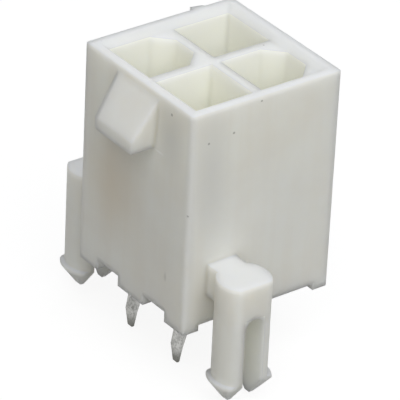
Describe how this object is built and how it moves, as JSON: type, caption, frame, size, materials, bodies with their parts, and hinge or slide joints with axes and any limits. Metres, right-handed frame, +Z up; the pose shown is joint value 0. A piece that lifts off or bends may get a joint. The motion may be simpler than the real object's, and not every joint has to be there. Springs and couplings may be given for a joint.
{
  "type": "board header",
  "caption": "Upright power header for a circuit board: a square shrouded housing with keyed sockets, a latch ramp, split snap-in pegs and solder tails.",
  "frame": {"origin": "middle of the housing on the board's upper surface, which the middle rib and the corner feet stand on", "axes": "+Z up from the board to the mouth, +X along a row of sockets through both pegs' sides, -Y towards the latch ramp"},
  "size_m": [0.0158, 0.0111, 0.0168],
  "materials": {
    "housing_nylon": "natural nylon, off-white, slightly translucent, satin",
    "tinned_brass": "matte tin plate over brass"
  },
  "bodies": {
    "root": {"housing": "housing_nylon", "terminal_1": "tinned_brass", "terminal_2": "tinned_brass", "terminal_3": "tinned_brass", "terminal_4": "tinned_brass"}
  },
  "joints": []
}
